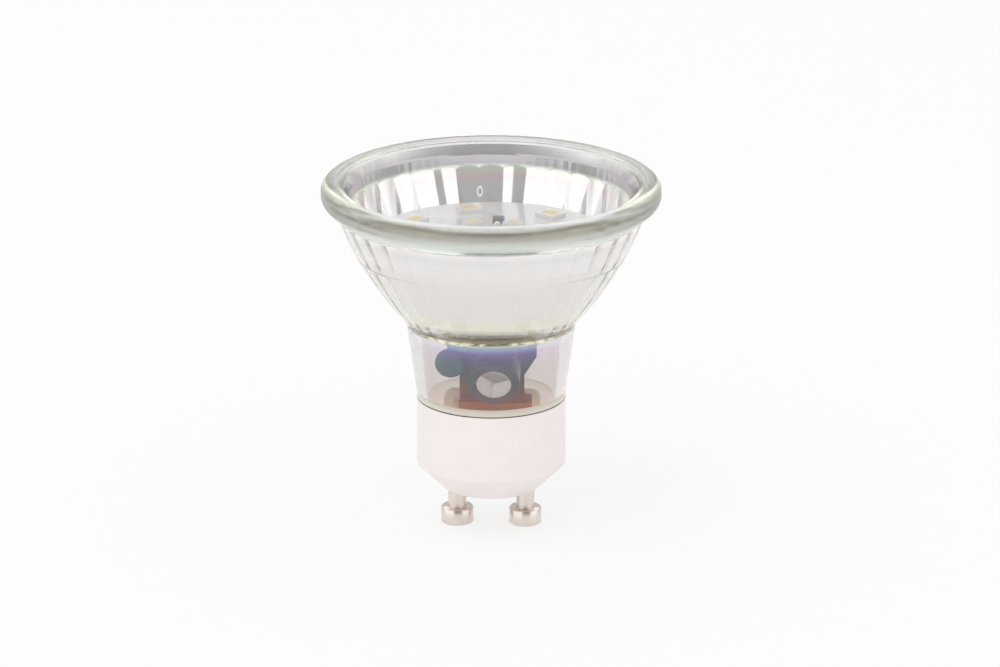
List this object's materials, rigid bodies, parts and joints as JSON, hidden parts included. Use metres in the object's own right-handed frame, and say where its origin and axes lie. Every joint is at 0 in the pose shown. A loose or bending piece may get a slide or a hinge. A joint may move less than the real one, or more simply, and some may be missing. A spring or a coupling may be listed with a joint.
{
  "type": "led spotlight bulb",
  "caption": "Glass-bodied LED spotlight bulb with a ribbed reflector, a clear neck that shows its driver, and a twist-and-lock base with wide-headed pins.",
  "frame": {"origin": "midway between the two contact pins, in the plane of their end faces", "axes": "+Z along the lamp's axis towards the light-giving front, X through both pins, -Y towards the side on which the capacitor shows through the neck"},
  "size_m": [0.0494, 0.0494, 0.0524],
  "materials": {
    "clear_glass": "pressed clear glass with a thin mirror film inside the ribbed part",
    "cover_glass": "clear, polished",
    "led_board_lacquer": "glossy grey-white lacquer",
    "led_white": "white, satin",
    "led_phosphor": "yellow resin",
    "terminal_plastic": "black",
    "solder": "bright solder",
    "circuit_board": "dark lacquer",
    "holder_plastic": "translucent beige",
    "capacitor_aluminium": "satin",
    "capacitor_sleeve": "shrunk film",
    "seal_rubber": "matte",
    "tinned_wire": "tinned",
    "varistor_coat": "blue-green epoxy",
    "ferrite": "dark grey, matte",
    "bobbin_plastic": "black",
    "winding_tape": "amber film tape",
    "resistor_coat": "grey cement",
    "wire_insulation": "white",
    "chip_plastic": "black",
    "base_white": "white, satin",
    "pin_nickel": "turned, warm nickel"
  },
  "bodies": {
    "root": {"glass_reflector": "clear_glass", "front_cover": "cover_glass", "led_board": "led_board_lacquer", "board_terminals": "terminal_plastic", "board_solder": "solder", "driver_board": "circuit_board", "driver_holder": "holder_plastic", "capacitor_can": "capacitor_aluminium", "capacitor_sleeve": "capacitor_sleeve", "capacitor_bung": "seal_rubber", "capacitor_leads": "tinned_wire", "varistor_disc": "varistor_coat", "varistor_leads": "tinned_wire", "transformer_core_lower": "ferrite", "transformer_core_upper": "ferrite", "transformer_bobbin": "bobbin_plastic", "transformer_winding": "winding_tape", "transformer_pins": "tinned_wire", "fuse_resistor_body": "resistor_coat", "fuse_resistor_leads": "tinned_wire", "input_wire": "tinned_wire", "output_wire_positive": "wire_insulation", "output_wire_negative": "wire_insulation", "bridge_rectifier": "chip_plastic", "bridge_legs": "tinned_wire", "driver_chip": "chip_plastic", "driver_chip_legs": "tinned_wire", "base_cap": "base_white", "contact_pin_left": "pin_nickel", "contact_pin_right": "pin_nickel", "led_1_housing": "led_white", "led_1_phosphor": "led_phosphor", "led_2_housing": "led_white", "led_2_phosphor": "led_phosphor", "led_3_housing": "led_white", "led_3_phosphor": "led_phosphor", "led_4_housing": "led_white", "led_4_phosphor": "led_phosphor", "led_5_housing": "led_white", "led_5_phosphor": "led_phosphor", "led_6_housing": "led_white", "led_6_phosphor": "led_phosphor", "led_7_housing": "led_white", "led_7_phosphor": "led_phosphor", "led_8_housing": "led_white", "led_8_phosphor": "led_phosphor", "led_9_housing": "led_white", "led_9_phosphor": "led_phosphor"}
  },
  "joints": []
}
